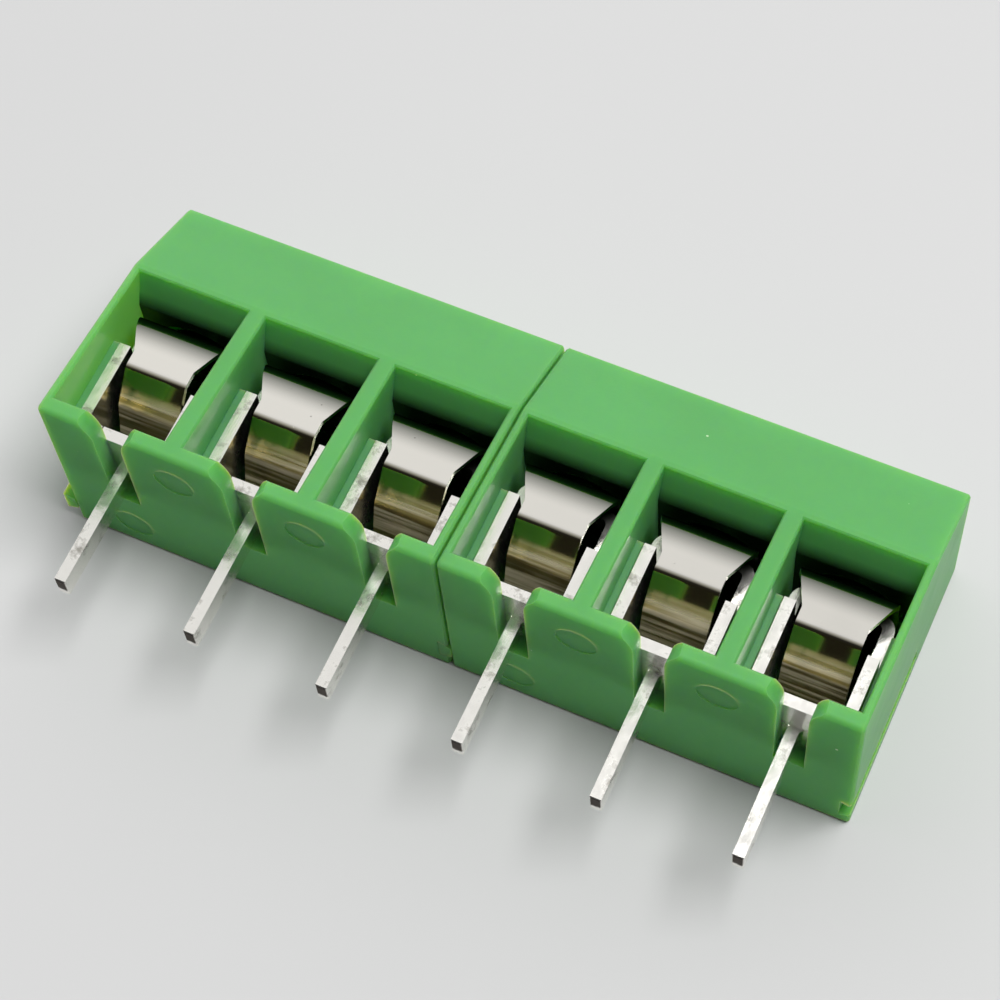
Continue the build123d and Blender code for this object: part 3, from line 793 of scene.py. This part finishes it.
class TERMINAL_OT_clamp_frames(bpy.types.Operator):
    """Give the six folded clamp frames and their pins a dipped tin finish"""
    bl_idname = "terminal.clamp_frames"
    bl_label = "Clamp frames"

    def execute(self, context):
        nodes = [f"clamp_frame_{number}" for number in range(1, POLES + 1)]
        dress(nodes, tinned_brass_sheet(context.scene.terminal_finishes))
        return {"FINISHED"}


class TERMINAL_OT_wire_guards(bpy.types.Operator):
    """Fold the six wire guards, each swept from its plate down to its arm"""
    bl_idname = "terminal.wire_guards"
    bl_label = "Wire guards"

    def execute(self, context):
        sizes = context.scene.terminal_leaf
        material = nickelled_leaf(context.scene.terminal_finishes)
        tree = leaf_tree()
        up = BOARD_SIDE
        for number, pole in enumerate(pole_places(), 1):
            values = {
                "Pole": pole, "Flange height": up + sizes.flange_height, "Flange back": sizes.flange_back,
                "Front depth": sizes.front_depth, "Fold height": up + sizes.fold_height,
                "Knee height": up + sizes.knee_height, "Knee depth": sizes.knee_depth,
                "Arm end height": up + sizes.arm_end_height, "Arm end depth": sizes.arm_end_depth,
                "Bend radius": sizes.bend_radius, "Fold radius": sizes.fold_radius,
                "Knee radius": sizes.knee_radius, "Flange width": sizes.flange_width,
                "Arm width": sizes.arm_width, "Taper top": up + sizes.taper_top,
                "Taper end": up + sizes.taper_end, "Fork radius": sizes.fork_radius,
                "Screw depth": context.scene.terminal_screw.axis_depth, "Leaf": sizes.leaf,
            }
            guard = grow(f"folded_guard_{number}", tree, values, material)
            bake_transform(guard)
            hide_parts(f"wire_guard_{number}")
        return {"FINISHED"}


class TERMINAL_OT_screws(bpy.types.Operator):
    """Turn the six slotted screws with their threads"""
    bl_idname = "terminal.screws"
    bl_label = "Screws"

    def execute(self, context):
        sizes = context.scene.terminal_screw
        material = zinc_plated_steel(context.scene.terminal_finishes)
        tree = screw_tree()
        for number, pole in enumerate(pole_places(), 1):
            values = {
                "Pole": pole, "Tip height": BOARD_SIDE + sizes.tip_height, "Axis depth": sizes.axis_depth,
                "Shank": sizes.shank, "Shank radius": sizes.shank_radius, "Tip bevel": sizes.tip_bevel,
                "Pitch": sizes.pitch, "Thread depth": sizes.thread_depth,
                "Head radius": sizes.head_radius, "Head height": sizes.head_height,
                "Head bevel": sizes.head_bevel, "Slot width": sizes.slot_width,
                "Slot depth": sizes.slot_depth,
            }
            screw = grow(f"slotted_screw_{number}", tree, values, material)
            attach(screw, f"screw_{number}")
            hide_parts(f"screw_{number}")
        return {"FINISHED"}


class TERMINAL_OT_stage(bpy.types.Operator):
    """Lay the pale floor, hang the soft lights and set the camera"""
    bl_idname = "terminal.stage"
    bl_label = "Stage"

    def execute(self, context):
        studio = context.scene.terminal_studio
        lay_floor(studio)
        hang_soft_box(studio)
        light_room(studio)
        set_camera(studio)
        return {"FINISHED"}


class TERMINAL_PT_dressing(bpy.types.Panel):
    """Lists the dressing steps in order"""
    bl_label = "Screw terminal"
    bl_space_type = "VIEW_3D"
    bl_region_type = "UI"
    bl_category = "Terminal"

    def draw(self, context):
        for operator in OPERATORS:
            self.layout.operator(operator.bl_idname)


OPERATORS = (TERMINAL_OT_housings, TERMINAL_OT_clamp_frames, TERMINAL_OT_wire_guards,
             TERMINAL_OT_screws, TERMINAL_OT_stage)
GROUPS = {"terminal_leaf": LeafSizes, "terminal_screw": ScrewSizes,
          "terminal_finishes": Finishes, "terminal_studio": Studio}


def register():
    """Register the classes and hang the property groups on the scene."""
    for group in GROUPS.values():
        bpy.utils.register_class(group)
    for name, group in GROUPS.items():
        setattr(bpy.types.Scene, name, bpy.props.PointerProperty(type=group))
    for operator in OPERATORS:
        bpy.utils.register_class(operator)
    bpy.utils.register_class(TERMINAL_PT_dressing)


def unregister():
    """Take everything back out."""
    bpy.utils.unregister_class(TERMINAL_PT_dressing)
    for operator in reversed(OPERATORS):
        bpy.utils.unregister_class(operator)
    for name, group in reversed(GROUPS.items()):
        delattr(bpy.types.Scene, name)
        bpy.utils.unregister_class(group)


def main():
    """Dress the part step by step."""
    register()
    bpy.ops.terminal.housings()
    bpy.ops.terminal.clamp_frames()
    bpy.ops.terminal.wire_guards()
    bpy.ops.terminal.screws()
    bpy.ops.terminal.stage()


if __name__ == "__main__":
    main()
